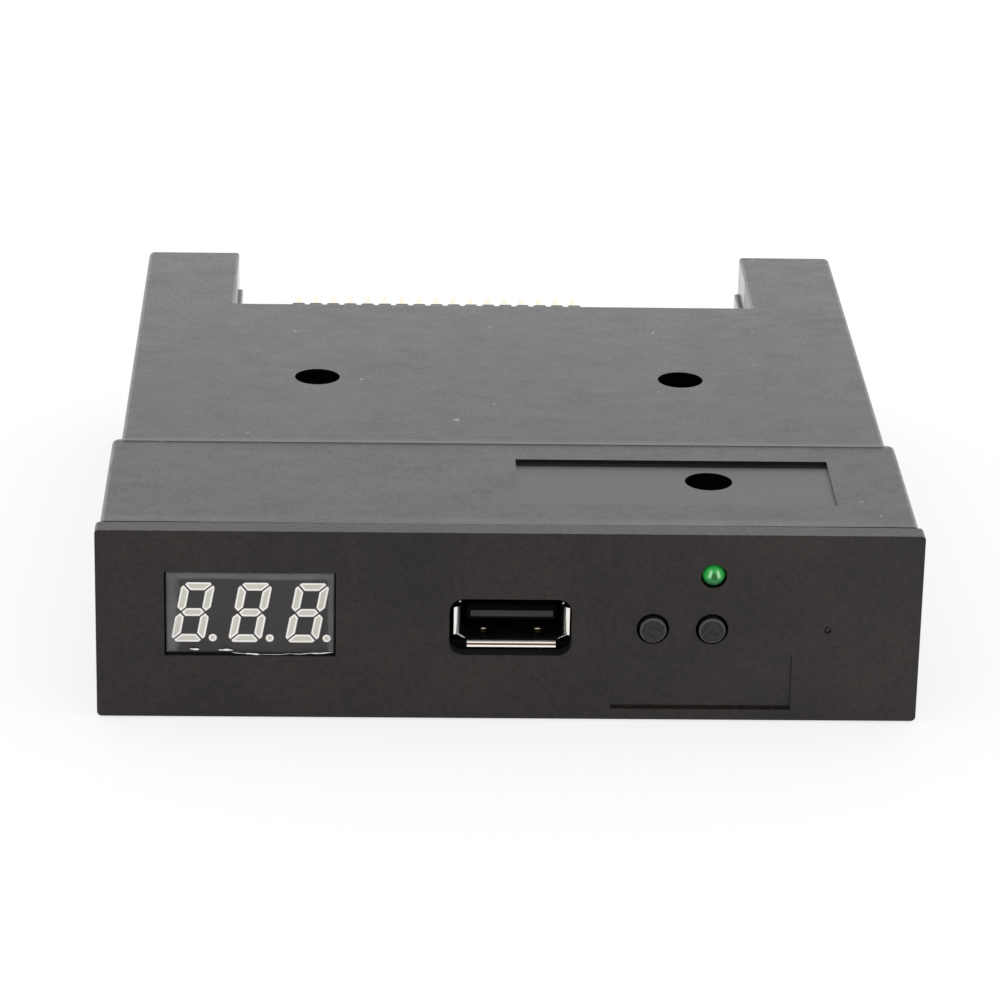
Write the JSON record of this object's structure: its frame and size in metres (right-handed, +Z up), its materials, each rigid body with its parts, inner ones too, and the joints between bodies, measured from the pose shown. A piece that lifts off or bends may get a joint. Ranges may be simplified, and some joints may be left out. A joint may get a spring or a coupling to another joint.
{
  "type": "floppy drive emulator",
  "caption": "Flat black drive-bay unit with a digital display, a data socket, a lamp and push buttons in its bezel, and pin headers in a notch at the rear.",
  "frame": {"origin": "centre of the footprint on the underside, with the front bezel towards -Y", "axes": "+X to the right as seen from the front, +Y from the front bezel to the rear header, +Z up"},
  "size_m": [0.1016, 0.122, 0.025],
  "materials": {
    "case_plastic": "fine moulded texture, near black",
    "bezel_plastic": "fine moulded texture, near black",
    "button_plastic": "smooth, near black",
    "switch_plastic": "smooth black",
    "plunger_plastic": "smooth brown",
    "board_laminate": "green solder mask",
    "socket_sheet": "bright plated sheet",
    "socket_plastic": "smooth black",
    "contact_plate": "gold plated",
    "pin_plate": "gold plated",
    "tinned_wire": "tinned",
    "display_face": "dark grey, flat",
    "display_bar": "translucent off-white",
    "clear_film": "clear, thin",
    "lamp_green": "translucent green",
    "header_plastic": "smooth black",
    "cap_plastic": "smooth black",
    "supply_plastic": "smooth off-white",
    "lead_plastic": "smooth off-white",
    "wire_cover": "smooth black",
    "chip_black": "moulded black",
    "can_metal": "drawn can",
    "crystal_metal": "plated can",
    "screw_metal": "zinc plated",
    "chip_ceramic": "matt"
  },
  "bodies": {
    "drive": {"top_cover": "case_plastic", "bottom_tray": "case_plastic", "front_bezel": "bezel_plastic", "case_screws": "screw_metal", "main_board": "board_laminate", "usb_shell": "socket_sheet", "usb_tongue": "socket_plastic", "usb_contacts": "contact_plate", "usb_springs": "socket_sheet", "display_module": "display_face", "display_segments": "display_bar", "display_film": "clear_film", "display_pins": "tinned_wire", "display_board": "board_laminate", "display_driver": "chip_black", "display_driver_leads": "tinned_wire", "front_lead_socket": "lead_plastic", "front_lead_plug": "lead_plastic", "display_lead": "wire_cover", "rear_lead_plug": "lead_plastic", "rear_lead_socket": "lead_plastic", "status_lamp": "lamp_green", "lamp_leads": "tinned_wire", "switch_left": "switch_plastic", "switch_right": "switch_plastic", "switch_brackets": "tinned_wire", "header_block": "header_plastic", "header_pins": "pin_plate", "jumper_block": "header_plastic", "jumper_pins": "pin_plate", "power_socket": "supply_plastic", "power_pins": "pin_plate", "controller_chip": "chip_black", "controller_leads": "tinned_wire", "crystal": "crystal_metal", "regulator": "chip_black", "regulator_legs": "tinned_wire", "capacitor_cans": "can_metal", "capacitor_bases": "chip_black", "chip_parts": "chip_ceramic"},
    "left_button": {"button_left": "button_plastic", "plunger_left": "plunger_plastic"},
    "right_button": {"button_right": "button_plastic", "plunger_right": "plunger_plastic"},
    "jumper": {"jumper_cap": "cap_plastic"}
  },
  "joints": [
    {"name": "left_button_press", "type": "slide", "parent": "drive", "child": "left_button", "axis": [0, 1, 0], "range_m": [0, 0.0003], "stiffness_N_per_m": 5000},
    {"name": "right_button_press", "type": "slide", "parent": "drive", "child": "right_button", "axis": [0, 1, 0], "range_m": [0, 0.0003], "stiffness_N_per_m": 5000},
    {"name": "jumper_pull", "type": "slide", "parent": "drive", "child": "jumper", "axis": [0, 1, 0], "range_m": [0, 0.008]}
  ]
}
